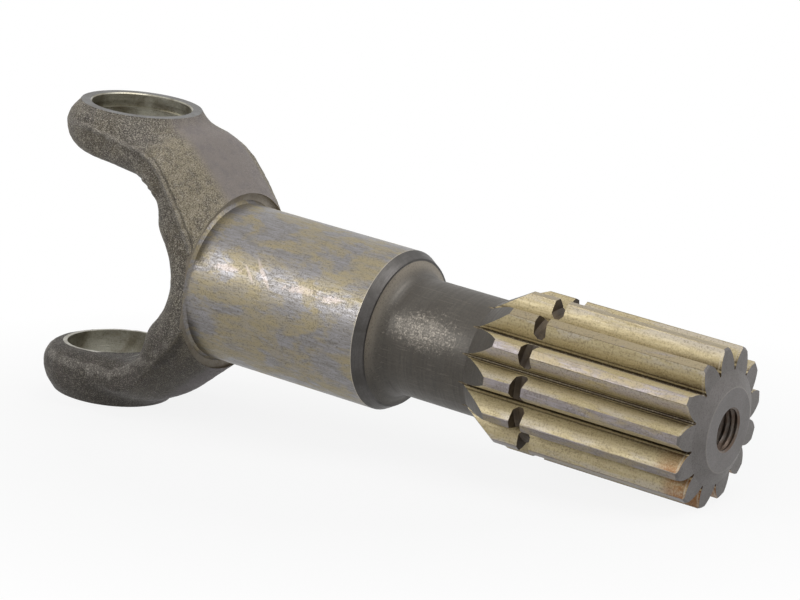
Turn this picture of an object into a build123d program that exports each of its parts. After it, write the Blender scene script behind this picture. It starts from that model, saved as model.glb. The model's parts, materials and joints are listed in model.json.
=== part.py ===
from build123d import *
from math import acos, cos, degrees, radians, sin, sqrt, tan
import os

# Wheel fork: the forged driving yoke of a steering axle, with its turned
# shaft and its toothed end, made in one piece.
# Frame: the origin is the middle of the cross joint, +X runs along the shaft
# to the toothed end, +Z along the cross bores.

# Back of the yoke: a cone about the shaft, rounded off towards the ears
bell_radius = 50.3
bell_end_x = 48.4
bell_end_radius = 31.2
bell_angle = 40.7
bell_round = 24.0
arm_half_width = 27.5
arm_x = 31.0
hub_half_width = 28.4

# Cross bores in the two ears; the ears stand proud of the back
ear_step = 1.7
ear_face_z = bell_radius + ear_step
ear_face_radius = 21.2
bore_radius = 17.5
bore_mouth_chamfer = 0.4
ring_groove_radius = 18.5
ring_groove_depth = 2.8
ring_groove_width = 2.3

# Forged ear: a bulged ring with its parting ridge round the outside
ear_ridge_radius = 25.3
ear_ridge_depth = 8.4
ear_shoulder_radius = 24.5
ear_shoulder_depth = 4.1
ear_shoulder_round = 12.0

# Gap of the yoke, as seen from the side, and the round along its edges
arm_thickness = 15.9
gap_opening_angle = 5.0
gap_corner_x = 27.0
gap_corner_round = 12.0
gap_cheek_height = 15.5
gap_shoulder_round = 12.0
gap_web_radius = 22.3
gap_depth_x = 37.8
gap_edge_round = 6.8

# Hub of the yoke, where the arms meet the journal
facing_x = 47.0
hub_start_x = 45.5
hub_corner = 1.0

# Journal, its lead chamfer and the neck
journal_radius = 27.5
journal_end_x = 116.0
lead_length = 3.4
lead_end_radius = 25.5
neck_radius = 20.0
neck_fillet = lead_end_radius - neck_radius

# Toothed end
tooth_count = 13
tooth_module = 3.5
pressure_angle = 30.0
tooth_thickness = 7.6
tooth_turn = -1.2
tip_radius = 26.65
root_radius = 19.1
crest_chamfer = 0.3
hob_radius = 37.0
run_out_arc = 45.0
cutter_clearance = 1.5
full_depth_x = 161.2
entry_angle = 30.0
crest_start_x = 166.8
rim_x = 238.8
rim_chamfer = 0.7
rim_dish = 0.9

# Lock-ring groove across the teeth
lock_ring_x = 178.7
lock_ring_width = 4.4
lock_ring_radius = 21.9
lock_ring_corner = 1.3

# Face of the toothed end and its tapped hole
disc_x = 242.0
disc_radius = 14.0
hole_radius = 6.9
hole_depth = 38.0
hole_chamfer = 0.6
drill_point_angle = 118.0

pitch_radius = tooth_module * tooth_count / 2
base_radius = pitch_radius * cos(radians(pressure_angle))
tooth_pitch = 360.0 / tooth_count


def involute(radius):
    """Polar angle, in degrees, an involute has turned through at a radius."""
    roll = acos(base_radius / radius)
    return degrees(tan(roll) - roll)


def flank_point(radius, side):
    """Point of a gap flank; the gap stands on the +Y axis of its sketch."""
    half_tooth = degrees(tooth_thickness / (2 * pitch_radius)) + involute(pitch_radius)
    half_gap = tooth_pitch / 2 - half_tooth + involute(radius)
    return (side * radius * sin(radians(half_gap)), radius * cos(radians(half_gap)))


with BuildPart() as wheel_fork:
    # The two arms and the hub between them, as seen along the cross bores
    with BuildSketch(Plane.XY.offset(-ear_face_z)):
        with BuildLine():
            ear_side = (0, ear_ridge_radius)
            hub_side = (bell_end_x, hub_half_width)
            swell = TangentArc(ear_side, (arm_x, arm_half_width), tangent=(1, 0))
            TangentArc(swell @ 1, hub_side, tangent=swell % 1)
            mirror(about=Plane.XZ)
            Line(ear_side, (0, -ear_ridge_radius))
            Line(hub_side, (bell_end_x, -hub_half_width))
        make_face()
    extrude(amount=2 * ear_face_z)

    # The back of the yoke is one surface round the shaft axis
    with BuildSketch(Plane.XY):
        with BuildLine():
            cone_run = (bell_radius - bell_end_radius) / tan(radians(bell_angle))
            back_line = FilletPolyline(
                (-ear_ridge_radius, bell_radius),
                (bell_end_x - cone_run, bell_radius),
                (bell_end_x, bell_end_radius),
                radius=bell_round,
            )
            Polyline(back_line @ 1, (bell_end_x, 0), (-ear_ridge_radius, 0), back_line @ 0)
        make_face()
    revolve(axis=Axis.X, mode=Mode.INTERSECT)

    # The ear rings
    ear_ridge_z = ear_face_z - ear_ridge_depth
    ear_shoulder_z = ear_face_z - ear_shoulder_depth
    with BuildSketch(Plane.XZ):
        with BuildLine():
            FilletPolyline(
                (ear_ridge_radius, ear_ridge_z),
                (ear_shoulder_radius, ear_shoulder_z),
                (ear_face_radius, ear_face_z),
                radius=ear_shoulder_round,
            )
            Polyline(
                (ear_face_radius, ear_face_z),
                (0, ear_face_z),
                (0, 0),
                (ear_ridge_radius, 0),
                (ear_ridge_radius, ear_ridge_z),
            )
        make_face()
        mirror(about=Plane.XZ)
    revolve(axis=Axis.Z)

    # The gap of the yoke, rounded along its edges
    gap_ear_z = bell_radius - arm_thickness
    gap_slope = tan(radians(gap_opening_angle))
    gap_corner_z = gap_ear_z - gap_slope * gap_corner_x
    gap_shoulder_z = gap_corner_z - gap_cheek_height
    gap_shoulder_x = gap_depth_x - gap_web_radius + sqrt(gap_web_radius**2 - gap_shoulder_z**2)
    with BuildSketch(Plane.XZ) as gap_outline:
        with BuildLine():
            mouth_x = -2 * ear_ridge_radius
            upper_side = Polyline(
                (mouth_x, gap_ear_z - gap_slope * mouth_x),
                (gap_corner_x, gap_corner_z),
                (gap_shoulder_x, gap_shoulder_z),
            )
            mirror(about=Plane.XZ)
            ThreePointArc(upper_side @ 1, (gap_depth_x, 0), (gap_shoulder_x, -gap_shoulder_z))
            Line(upper_side @ 0, (mouth_x, gap_slope * mouth_x - gap_ear_z))
        make_face()
        fillet(gap_outline.vertices().group_by(Axis.X)[-1], gap_shoulder_round)
        fillet(gap_outline.vertices().group_by(Axis.X)[1], gap_corner_round)
    extrude(amount=ear_face_z, both=True, mode=Mode.SUBTRACT)
    gap_edges = wheel_fork.edges(Select.LAST).filter_by(Axis.Y, reverse=True)
    gap_edges = gap_edges.filter_by(Axis.Z, reverse=True)
    fillet(gap_edges, gap_edge_round)

    # Facing of the hub round the journal
    with BuildSketch(Plane.YZ.offset(facing_x)):
        Circle(bell_end_radius)
    extrude(amount=bell_end_radius, mode=Mode.SUBTRACT)

    # Journal, neck and the blank of the toothed end
    entry_x = crest_start_x - (tip_radius - neck_radius) / tan(radians(entry_angle))
    lead_end_x = journal_end_x + lead_length
    neck_start_x = lead_end_x + neck_fillet
    with BuildSketch(Plane.XY.rotated((tooth_turn, 0, 0))):
        with BuildLine():
            Line((hub_start_x, 0), (hub_start_x, journal_radius))
            Line((hub_start_x, journal_radius), (facing_x, journal_radius + hub_corner))
            Line((facing_x, journal_radius + hub_corner), (facing_x + hub_corner, journal_radius))
            Line((facing_x + hub_corner, journal_radius), (journal_end_x, journal_radius))
            Line((journal_end_x, journal_radius), (lead_end_x, lead_end_radius))
            RadiusArc((lead_end_x, lead_end_radius), (neck_start_x, neck_radius), -neck_fillet)
            Line((neck_start_x, neck_radius), (entry_x, neck_radius))
            Line((entry_x, neck_radius), (crest_start_x, tip_radius))
            Line((crest_start_x, tip_radius), (rim_x - rim_chamfer, tip_radius))
            Line((rim_x - rim_chamfer, tip_radius), (rim_x, tip_radius - rim_chamfer))
            Line((rim_x, tip_radius - rim_chamfer), (rim_x + rim_dish, root_radius))
            Line((rim_x + rim_dish, root_radius), (disc_x, disc_radius))
            Line((disc_x, disc_radius), (disc_x, 0))
            Line((disc_x, 0), (hub_start_x, 0))
        make_face()
    revolve(axis=Axis.X)

    # Cross bores with their retaining-ring grooves
    Cylinder(bore_radius, 2 * ear_face_z, mode=Mode.SUBTRACT)
    ring_groove_z = ear_face_z - ring_groove_depth - ring_groove_width / 2
    for side in (1, -1):
        with Locations((0, 0, side * ring_groove_z)):
            Cylinder(ring_groove_radius, ring_groove_width, mode=Mode.SUBTRACT)
    face_edges = wheel_fork.edges().filter_by(GeomType.CIRCLE).group_by(Axis.Z)
    mouths = [face_edges[end].sort_by(SortBy.RADIUS)[0] for end in (0, -1)]
    chamfer(mouths, bore_mouth_chamfer)

# One tooth gap: straight to the end, with the cutter's run-out into the neck.
# Each flank is the arc through three points of its involute.
flank_end = tip_radius - crest_chamfer
flank_middle = sqrt(base_radius * flank_end)
with BuildPart() as gap:
    with BuildSketch(Plane.YZ.offset(full_depth_x)) as gap_profile:
        with BuildLine():
            left = ThreePointArc(*[flank_point(r, -1) for r in (base_radius, flank_middle, flank_end)])
            right = ThreePointArc(*[flank_point(r, 1) for r in (base_radius, flank_middle, flank_end)])
            ThreePointArc(left @ 0, (0, root_radius), right @ 0)
            flare = crest_chamfer + cutter_clearance
            left_top = (left @ 1) + (-flare, flare)
            right_top = (right @ 1) + (flare, flare)
            Line(left @ 1, left_top)
            Line(right @ 1, right_top)
            Line(left_top, right_top)
        make_face()
    extrude(amount=disc_x - full_depth_x)
    hob_axis = Axis((full_depth_x, 0, root_radius + hob_radius), (0, 1, 0))
    revolve(gap_profile.sketch, axis=hob_axis, revolution_arc=run_out_arc)

with wheel_fork:
    # The thirteen gaps, one of them on the +Y side but for the small turn
    for k in range(tooth_count):
        add(gap.part.rotate(Axis.X, tooth_turn - 90 + k * tooth_pitch), mode=Mode.SUBTRACT)

    # Lock-ring groove
    with BuildSketch(Plane.XY):
        with Locations((lock_ring_x, lock_ring_radius)):
            Rectangle(lock_ring_width, tip_radius, align=(Align.CENTER, Align.MIN))
        chamfer(vertices().group_by(Axis.Y)[0], lock_ring_corner)
    revolve(axis=Axis.X, mode=Mode.SUBTRACT)

    # Tapped hole in the end, its thread left out
    with BuildSketch(Plane.XY):
        with BuildLine():
            drill_point = hole_radius / tan(radians(drill_point_angle / 2))
            Polyline(
                (disc_x, 0),
                (disc_x, hole_radius + hole_chamfer),
                (disc_x - hole_chamfer, hole_radius),
                (disc_x - hole_depth, hole_radius),
                (disc_x - hole_depth - drill_point, 0),
                close=True,
            )
        make_face()
    revolve(axis=Axis.X, mode=Mode.SUBTRACT)

wheel_fork.part.label = "wheel_fork"
os.makedirs("parts", exist_ok=True)
export_step(wheel_fork.part, "parts/wheel_fork.step")
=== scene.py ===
# %% [markdown]
# # Dressing a forged wheel fork
#
# A wheel fork is the driving half of a universal joint together with its shaft.
# It starts as a hot forging, so the fork has a rough, scaly skin and a trim line
# where the dies met. Then a lathe, a grinder and a gear hob cut the shaft, and a
# boring bar cuts the two ears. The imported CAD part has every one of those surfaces
# as a smooth solid. This lesson keeps its sizes and gives each surface the skin
# that its own machine, and some years in a store, left on it.

import heapq
import json
import math

import bmesh
import bpy
import numpy as np
from mathutils import Matrix, Vector, kdtree, noise

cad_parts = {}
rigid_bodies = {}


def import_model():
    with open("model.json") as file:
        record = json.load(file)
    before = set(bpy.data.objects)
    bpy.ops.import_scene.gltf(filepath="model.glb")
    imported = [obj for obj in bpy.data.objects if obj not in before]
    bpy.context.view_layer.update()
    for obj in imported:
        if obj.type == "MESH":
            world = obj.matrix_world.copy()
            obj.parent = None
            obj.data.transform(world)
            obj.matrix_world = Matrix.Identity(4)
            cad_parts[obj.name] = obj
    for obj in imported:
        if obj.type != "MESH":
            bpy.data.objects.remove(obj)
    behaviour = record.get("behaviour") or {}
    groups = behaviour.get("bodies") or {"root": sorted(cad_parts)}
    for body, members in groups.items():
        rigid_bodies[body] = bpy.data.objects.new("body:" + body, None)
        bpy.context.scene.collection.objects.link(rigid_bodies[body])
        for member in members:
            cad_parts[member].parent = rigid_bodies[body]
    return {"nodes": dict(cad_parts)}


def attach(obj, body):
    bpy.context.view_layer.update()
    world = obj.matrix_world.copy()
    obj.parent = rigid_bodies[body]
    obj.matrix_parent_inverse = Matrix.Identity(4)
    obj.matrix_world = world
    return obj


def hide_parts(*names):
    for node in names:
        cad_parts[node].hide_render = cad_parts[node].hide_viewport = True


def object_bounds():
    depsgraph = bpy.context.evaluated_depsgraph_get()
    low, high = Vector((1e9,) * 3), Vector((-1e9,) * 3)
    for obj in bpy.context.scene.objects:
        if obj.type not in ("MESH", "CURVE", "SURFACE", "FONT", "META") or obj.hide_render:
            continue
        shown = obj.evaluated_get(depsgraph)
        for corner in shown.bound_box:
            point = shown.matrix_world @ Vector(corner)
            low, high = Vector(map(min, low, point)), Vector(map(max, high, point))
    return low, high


for left_over in list(bpy.data.objects):
    bpy.data.objects.remove(left_over)
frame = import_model()
cad_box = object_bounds()
cad_node = frame["nodes"]["wheel_fork"]
print("CAD box in mm:", [[round(1000 * value, 2) for value in corner] for corner in cad_box])

# %% [markdown]
# ## Sizes that the finishes need
#
# The origin is the middle of the universal joint, +X runs along the shaft and +Z
# along the cross bores. A finish often stops where a tool stopped, so the script
# has to know those places. It could read them off the mesh, but a named value says
# what it means, so only the overall sizes are read from the CAD box.

# %% Name the places where one tool stops and the next begins
MM = 0.001
ear_face_z = cad_box[1].z
shaft_end_x = cad_box[1].x
ear_radius = 25.3 * MM
ear_face_radius = 21.2 * MM
bore_radius = 17.5 * MM
bore_groove_radius = 18.5 * MM
ear_ridge_z = 43.5 * MM
lower_ridge_z = -37.8 * MM
arm_side_y = 26.0 * MM
hub_face_x = 47.0 * MM
hub_face_radius = 31.2 * MM
hub_corner = 1.0 * MM
journal_radius = 27.5 * MM
journal_end_x = 116.0 * MM
lead_end_x = 119.4 * MM
neck_radius = 20.0 * MM
tooth_tip_radius = 26.65 * MM
tooth_start_x = 155.3 * MM
crest_start_x = 166.8 * MM
crest_end_x = 238.1 * MM
ring_groove_x = (176.5 * MM, 180.9 * MM)
ring_groove_radius = 21.5 * MM
ring_corner_radius = 23.5 * MM
hole_radius = 6.9 * MM
hole_mouth_radius = 7.9 * MM
hole_depth = 38.0 * MM
print("shaft end at", round(shaft_end_x / MM, 1), "mm, ear faces at",
      round(ear_face_z / MM, 1), "mm")

# %% [markdown]
# ## One mesh to dress
#
# The CAD mesh itself may not change, so the script works on a copy and lets the
# copy stand in for it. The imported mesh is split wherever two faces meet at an
# edge, which keeps machined edges crisp. The copy is welded shut, so that a rough
# skin can run over the forging without tearing, and the CAD's own face normals
# are kept on the corners for the surfaces that stay exactly as they were cut.

# %% Copy the CAD mesh, keep its corner normals and weld it
work = bmesh.new()
work.from_mesh(cad_node.data)
corner_normal = work.loops.layers.float_vector.new("cad_normal")
packed_normals = np.zeros(3 * len(cad_node.data.loops), np.float32)
cad_node.data.corner_normals.foreach_get("vector", packed_normals)
packed_normals = packed_normals.reshape(-1, 3)
corner = 0
for face in work.faces:
    for loop in face.loops:
        loop[corner_normal] = packed_normals[corner]
        corner += 1
bmesh.ops.remove_doubles(work, verts=work.verts, dist=1e-6)
print("welded mesh:", len(work.verts), "vertices,", len(work.faces), "faces,",
      sum(not edge.is_manifold for edge in work.edges), "open edges")

# %% [markdown]
# ## Which machine made which face
#
# Every face gets a zone from where it is and which way it looks. Faces could be
# picked by hand, but a rule goes on working when the CAD part changes a little.

# %% Sort the faces into zones
ZONES = ["forged", "bore", "ear_face", "hub_face", "journal", "lead", "neck", "flank", "crest",
         "ring_groove", "end_face", "hole"]
HAIR = 0.06 * MM


def fork_zone(centre, normal, from_shaft, from_bore):
    """Zones of the fork, up to the facing round the journal."""
    if abs(centre.z) > ear_face_z - HAIR:
        return "ear_face"
    if abs(centre.z) > bore_radius and from_bore < bore_groove_radius + 3 * HAIR:
        return "bore"
    faced = normal.x > 0.99 and centre.x > hub_face_x - HAIR and from_shaft < hub_face_radius
    stepped = centre.x > hub_face_x and normal.y * centre.y + normal.z * centre.z < 0
    return "hub_face" if faced or stepped else "forged"


def shaft_zone(centre, normal, from_shaft):
    """Zones of the shaft, from the facing to the end."""
    if centre.x < journal_end_x + HAIR:
        return "journal"
    if centre.x < lead_end_x + HAIR:
        return "lead"
    if from_shaft < hole_mouth_radius and normal.x < 0.9:
        return "hole"
    if centre.x > crest_end_x and normal.x > 0.3:
        return "end_face"
    before_teeth = centre.x < tooth_start_x and from_shaft > neck_radius - HAIR
    if centre.x < crest_start_x and (normal.x < -0.3 or before_teeth):
        return "neck"
    in_groove = ring_groove_x[0] - HAIR < centre.x < ring_groove_x[1] + HAIR
    wall_or_floor = abs(normal.x) > 0.5 or from_shaft < ring_corner_radius
    if in_groove and wall_or_floor and from_shaft > ring_groove_radius:
        return "ring_groove"
    return "crest" if from_shaft > tooth_tip_radius - 0.2 * MM else "flank"


def zone_of(face):
    """The name of the surface that a face belongs to."""
    centre = face.calc_center_median()
    from_shaft = math.hypot(centre.y, centre.z)
    beside_shaft = from_shaft > journal_radius + hub_corner + HAIR
    if centre.x < hub_face_x - HAIR or (centre.x < hub_face_x + 1.5 * MM and beside_shaft):
        return fork_zone(centre, face.normal, from_shaft, math.hypot(centre.x, centre.y))
    return shaft_zone(centre, face.normal, from_shaft)


for face in work.faces:
    face.normal_update()
    face.material_index = ZONES.index(zone_of(face))
for number, name in enumerate(ZONES):
    print(f"{name:12s}", sum(face.material_index == number for face in work.faces), "faces")

# %% [markdown]
# ## The trim line
#
# The dies meet in a plane along the shaft, and the steel squeezed out between
# them, the flash, is trimmed off in a press. What stays is a low, torn ridge round
# the outside of the fork. On the upper arm it follows the edge between the back
# and the sides, so that edge is looked up in the mesh. Round the upper ear it
# climbs, and on the lower half the photograph shows it well inside the edge, so
# there it gets an arc of its own.

# %% Find the points of the trim line
FORGED = ZONES.index("forged")
EAR_CLIMB = 2.2 * MM
POINT_STEP = 0.4 * MM


def on_forging(edge):
    return all(face.material_index == FORGED for face in edge.link_faces)


def ease(value, start, end):
    """0 before start, 1 after end, and a smooth ramp between."""
    share = min(max((value - start) / (end - start), 0.0), 1.0)
    return share * share * (3 - 2 * share)


def ear_lift(turn):
    """How far the ridge of the upper ear climbs, turn degrees round the ear from the arm."""
    return EAR_CLIMB * ease(turn, 48.0, 98.0) * (1 - 0.8 * ease(turn, 105.0, 175.0))


trim_points = []
for edge in work.edges:
    start, end = edge.verts[0].co, edge.verts[1].co
    middle = (start + end) / 2
    on_upper_arm = abs(middle.y) > ear_radius and middle.x > 0 and middle.z > 0
    sharp = edge.is_convex and edge.calc_face_angle(0) > math.radians(20)
    if on_upper_arm and sharp and on_forging(edge):
        lift = ear_lift(math.degrees(math.atan2(abs(middle.y), middle.x)))
        for share in np.linspace(0, 1, max(2, int(edge.calc_length() / POINT_STEP))):
            trim_points.append(start.lerp(end, share) + Vector((0, 0, lift)))
edge_points = len(trim_points)
arm_arc_centre = Vector((18.3, 0, -4.1)) * MM
arm_arc_radius = 28.2 * MM
for side in (1, -1):
    arm_side = Vector((0, side * arm_side_y, 0))
    for turn in np.arange(90.0, 180.1, 0.8):
        round_ear = Vector((ear_radius * math.cos(math.radians(turn)),
                            side * ear_radius * math.sin(math.radians(turn)), 0))
        trim_points.append(round_ear + Vector((0, 0, ear_ridge_z + ear_lift(turn))))
        trim_points.append(round_ear + Vector((0, 0, lower_ridge_z)))
    for x in np.arange(0, 18, 0.4):
        trim_points.append(arm_side + Vector((x * MM, 0, lower_ridge_z)))
    for turn in np.arange(9.0, -78.0, -0.8):
        across = Vector((math.cos(math.radians(turn)), 0, math.sin(math.radians(turn))))
        trim_points.append(arm_side + arm_arc_centre + arm_arc_radius * across)
    for share in np.linspace(0, 1, 30):
        trim_points.append(arm_side + Vector((25.6 - 7.6 * share, 0, -31.3 - 6.5 * share)) * MM)
trim_tree = kdtree.KDTree(len(trim_points))
for number, point in enumerate(trim_points):
    trim_tree.insert(point, number)
trim_tree.balance()
print("trim line:", edge_points, "points on the upper arm,",
      len(trim_points) - edge_points, "elsewhere")

# %% [markdown]
# ## A finer forged skin
#
# The CAD mesh describes the forging with as few triangles as it can. A rough skin
# needs points about a millimetre apart. A voxel remesh would give them, but it
# would also blunt the machined edges. So the longest edge of the forged faces is
# split in the middle, and again the one that is longest then, until none is left
# that is too long. Taking the longest first keeps the triangles from growing thin.
# Beside the trim line the edges may be only half as long, since a ridge is sharp.

# %% Split the long edges of the forging
RIDGE_STEP = 0.62 * MM
SKIN_STEP = 1.15 * MM
RIDGE_REACH = 3.0 * MM
NEARLY_FLAT = math.radians(3)


def too_long(edge):
    """Whether an edge of the skin is longer than it may be where it lies."""
    length = edge.calc_length()
    if length < RIDGE_STEP:
        return False
    from_trim = trim_tree.find((edge.verts[0].co + edge.verts[1].co) / 2)[2]
    return length > (RIDGE_STEP if from_trim < RIDGE_REACH else SKIN_STEP)


def beside_forging(edge):
    return any(face.material_index == FORGED for face in edge.link_faces)


def even_out():
    """Turns the edges of flat-lying pairs of triangles where that makes them less thin."""
    flat_edges = [edge for edge in work.edges
                  if on_forging(edge) and edge.calc_face_angle(1) < NEARLY_FLAT]
    skin_faces = [face for face in work.faces if face.material_index == FORGED]
    bmesh.ops.beautify_fill(work, faces=skin_faces, edges=flat_edges)


def split_in_middle(edge):
    """Splits an edge and the triangles beside it. Gives the edges that are new or shorter."""
    ends = tuple(edge.verts)
    beside = []
    for face in edge.link_faces:
        corners = [loop for loop in face.loops if loop.vert in ends]
        opposite = next(vert for vert in face.verts if vert not in ends)
        beside.append((face, opposite, corners[0][corner_normal] + corners[1][corner_normal]))
    _, middle = bmesh.utils.edge_split(edge, ends[0], 0.5)
    for face, opposite, blend in beside:
        next(loop for loop in face.loops if loop.vert == middle)[corner_normal] = blend.normalized()
        bmesh.utils.face_split(face, middle, opposite)
    return list(middle.link_edges)


even_out()
queue = [(-edge.calc_length(), number, edge)
         for number, edge in enumerate(filter(beside_forging, work.edges))]
heapq.heapify(queue)
turn_in_queue = len(queue)
while queue:
    minus_length, _, edge = heapq.heappop(queue)
    # An edge that was split while it waited stands in the queue again with its new length.
    if abs(edge.calc_length() + minus_length) < 1e-9 and too_long(edge):
        for shorter in split_in_middle(edge):
            if beside_forging(shorter):
                heapq.heappush(queue, (-shorter.calc_length(), turn_in_queue, shorter))
                turn_in_queue += 1
even_out()
work.verts.index_update()
work.verts.ensure_lookup_table()
work.faces.ensure_lookup_table()
print("refined:", len(work.faces), "triangles,",
      sum(face.material_index == FORGED for face in work.faces), "of them forged,",
      sum(not edge.is_manifold for edge in work.edges), "open edges")

# %% [markdown]
# ## Soft corners
#
# Hot steel doesn't fill a sharp inner corner of a die, so every corner of the
# forging is rounded. Averaging each point with its neighbours does the same to a
# mesh. A few rounds of it hide the flat facets everywhere, and many more rounds
# near the corner between an ear and the arm give the broad blend seen there.

# %% Round the forging off
BLEND_REACH = 7.0 * MM
RIDGE_WIDTH = 1.2 * MM
points = np.array([vert.co for vert in work.verts])
skin = np.array([all(face.material_index == FORGED for face in vert.link_faces)
                 for vert in work.verts])
pairs = np.array([(edge.verts[0].index, edge.verts[1].index) for edge in work.edges])
neighbours = np.bincount(pairs.ravel(), minlength=len(points))[:, None]


def average(values):
    """The mean of each point's neighbours."""
    total = np.zeros_like(values)
    for axis in range(values.shape[1]):
        total[:, axis] = np.bincount(pairs[:, 0], values[pairs[:, 1], axis], len(values))
        total[:, axis] += np.bincount(pairs[:, 1], values[pairs[:, 0], axis], len(values))
    return total / neighbours


def soften(places, weight, rounds):
    """Moves each place towards the mean of its neighbours by its weight, in each round."""
    for _ in range(rounds):
        places += weight[:, None] * (average(places) - places)


def bell_curve(distance, width):
    """1 at no distance, and next to nothing beyond twice the width."""
    return math.exp(-(distance / width) ** 2)


inner_edges = [edge for edge in work.edges if on_forging(edge) and not edge.is_convex
               and edge.calc_face_angle(0) > math.radians(12)]
corner_tree = kdtree.KDTree(len(inner_edges))
for number, edge in enumerate(inner_edges):
    corner_tree.insert((edge.verts[0].co + edge.verts[1].co) / 2, number)
corner_tree.balance()
inner_corner = np.array([max(0.0, 1.0 - corner_tree.find(vert.co)[2] / BLEND_REACH)
                         for vert in work.verts]) * skin
on_ridge = np.array([bell_curve(trim_tree.find(vert.co)[2], RIDGE_WIDTH)
                     for vert in work.verts])
soften(points, 0.5 * skin * (1 - 0.9 * on_ridge), rounds=4)
soften(points, 0.6 * skin * np.sqrt(inner_corner), rounds=60)
print("inner corner edges:", len(inner_edges), "- points in the blend:",
      int((inner_corner > 0).sum()))

# %% [markdown]
# ## The ridge that climbs
#
# Round the upper ear the ridge between the dies climbs towards the outer face, and
# it sinks again at the far end. The CAD has it at one height all round. A change of
# the material alone would not show on the outline, so the points move: most on the
# ridge, and less and less towards the face and the gap.

# %% Lift the ear's ridge
LIFT_REACH = 8.4 * MM
turns = np.degrees(np.arctan2(np.abs(points[:, 1]), points[:, 0]))
lifts = np.array([ear_lift(turn) for turn in turns])
near_ridge = np.clip(1 - np.abs(points[:, 2] - ear_ridge_z) / LIFT_REACH, 0, 1)
points[:, 2] += skin * lifts * near_ridge ** 2 * (3 - 2 * near_ridge)
for vert, place in zip(work.verts, points):
    vert.co = place
work.normal_update()
print("ridge lifted by up to", round(max(lifts) / MM, 1), "mm")

# %% [markdown]
# ## Forging marks
#
# The skin isn't flat: scale breaks off in flakes, the die is worn, and the trim
# line stands up. It is sharp and torn on the upper half and broad on the lower, and
# inside the upper arm some flash was left on in lumps. Knocks have left dents. All
# of these are heights in millimetres, added up and laid on along the surface
# normal. They fade to nothing where the forging meets a machined face, so that
# every machined edge stays where the CAD has it.

# %% List the marks of the forging
flash_lumps = {(23.0, -26.8, 33.6): 3.2, (27.4, -26.6, 31.2): 2.6, (19.8, -25.6, 34.8): 1.8,
               (16.0, -25.6, 27.5): 2.6, (19.5, -26.0, 24.5): 2.0}
dents = {(1.5, -25.2, -36.0): 1.5, (4.5, -25.6, -38.0): 1.2, (-12.0, -22.0, -41.0): 1.6,
         (9.0, -25.8, 30.5): 1.2, (6.0, -25.6, -30.0): 1.4, (14.0, -26.0, -20.0): 1.3}
LUMP_SHARE = 0.55
DENT_DEPTH = 0.3
SINK = 0.1
# The trim line's height and width, and the width of the bare steel along it
UPPER_TRIM = (0.62, 0.8, 1.5)
LOWER_TRIM = (0.5, 1.7, 3.0)
TORN_SHIFT = Vector((3, 8, 5))
WAVE_SHIFT = Vector((7, 1, 3))
border = [vert for vert, inside in zip(work.verts, skin)
          if not inside and any(face.material_index == FORGED for face in vert.link_faces)]
border_tree = kdtree.KDTree(len(border))
for number, vert in enumerate(border):
    border_tree.insert(vert.co, number)
border_tree.balance()
print(len(flash_lumps), "lumps of flash,", len(dents), "dents,",
      len(border), "points where machined faces begin")

# %% Raise the trim line and roughen the skin
trim_mask = work.verts.layers.float.new("trim")
highest = 0.0
for vert in work.verts:
    if not skin[vert.index]:
        continue
    place = vert.co / MM
    fade = min(1.0, border_tree.find(vert.co)[2] / (1.4 * MM))
    from_trim = trim_tree.find(vert.co)[2] / MM
    tall, wide, bare_width = UPPER_TRIM if place.z > 0 else LOWER_TRIM
    standing = (1.0 if place.y < 0 else 0.25) * min(1.0, max(0.2, 1.2 + place.x / 14))
    torn = 0.7 + 0.9 * noise.noise(place * 0.45)
    torn += 0.5 * noise.noise(place * 1.1 + TORN_SHIFT)
    ridge = tall * standing * torn * bell_curve(from_trim, wide)
    ridge -= 0.2 * standing * bell_curve(from_trim - 2.0, 0.8)
    wave = 0.1 * noise.noise(place * 0.085 + WAVE_SHIFT)
    rough = 0.07 * noise.noise(place * 0.3) + 0.09 * noise.noise(place * 0.8)
    lump = sum(LUMP_SHARE * size * bell_curve((place - Vector(spot)).length, size)
               for spot, size in flash_lumps.items())
    dent = sum(DENT_DEPTH * bell_curve((place - Vector(spot)).length, size)
               for spot, size in dents.items())
    raised = lump * (0.8 + 0.5 * noise.noise(place * 0.5))
    height = fade * (ridge + wave + rough - dent + raised)
    highest = max(highest, height)
    vert.co += vert.normal * (height - SINK * fade) * MM
    bare = fade * bell_curve(from_trim, bare_width) * (0.8 + 0.6 * noise.noise(place * 0.3))
    vert[trim_mask] = bare + 0.5 * lump
low, high = cad_box
for vert in work.verts:
    for axis in range(3):
        vert.co[axis] = min(max(vert.co[axis], low[axis]), high[axis])
print("highest forging mark:", round(highest, 2), "mm")

# %% [markdown]
# ## A thread in the end hole
#
# The hole in the end takes a screw, but the CAD leaves its thread out. The wall of
# the hole is taken away and put back as a grid whose rings and columns lie close
# together. A thread is then only a radius that depends on how far along and how
# far round a point is, and the grid closes on the old edges at both ends.

# %% Take the wall of the hole away
HOLE = ZONES.index("hole")
thread_pitch = 2.0 * MM
thread_depth = 0.85 * MM
thread_start = shaft_end_x - 0.6 * MM
thread_end = shaft_end_x - hole_depth


def round_shaft(vert):
    """The angle of a point round the shaft."""
    return math.atan2(vert.co.z, vert.co.y)


wall = [face for face in work.faces if face.material_index == HOLE
        and abs(face.normal.x) < 0.1 and thread_end < face.calc_center_median().x < thread_start]
bmesh.ops.delete(work, geom=wall, context="FACES_ONLY")
loose = [edge for edge in work.edges if not edge.link_faces]
bmesh.ops.delete(work, geom=loose, context="EDGES")
rim_points = {vert for edge in work.edges if edge.is_boundary for vert in edge.verts}
half_way = (thread_start + thread_end) / 2
mouth_points = sorted([vert for vert in rim_points if vert.co.x > half_way], key=round_shaft)
floor_points = sorted([vert for vert in rim_points if vert.co.x <= half_way], key=round_shaft)
print("rims of", len(mouth_points), "and", len(floor_points), "points")

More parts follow.
